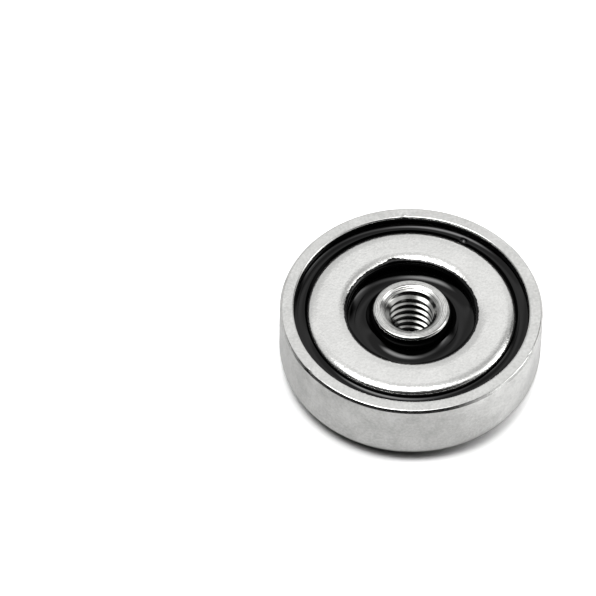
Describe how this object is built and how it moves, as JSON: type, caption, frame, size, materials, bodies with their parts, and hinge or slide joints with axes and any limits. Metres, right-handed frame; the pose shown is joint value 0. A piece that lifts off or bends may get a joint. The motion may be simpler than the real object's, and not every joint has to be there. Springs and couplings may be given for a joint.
{
  "type": "pot magnet",
  "caption": "Round shallow pot magnet: a drawn steel cup holds a ring magnet in black resin around a threaded bush that runs right through for a screw.",
  "frame": {"origin": "centre of the closed back of the cup, on the thread's axis", "axes": "+Z along the thread's axis, from the closed back to the magnet's gripping face; two corners of the bush's hexagon point along +Y and -Y"},
  "size_m": [0.02, 0.02, 0.0063],
  "materials": {
    "plated_cup": "satin bright nickel plate over drawn steel, fine even grain from tumbling",
    "turned_bush": "nickel plate over turned steel, fine rings on the face, cut M4 thread in the bore",
    "plated_magnet": "bright nickel plate over a sintered magnet, very fine grain, soft edges",
    "potting_resin": "glossy black epoxy, poured, with hollow menisci against the metal"
  },
  "bodies": {
    "root": {"steel_cup": "plated_cup", "threaded_bush": "turned_bush", "ring_magnet": "plated_magnet", "outer_resin": "potting_resin", "inner_resin": "potting_resin"}
  },
  "joints": []
}
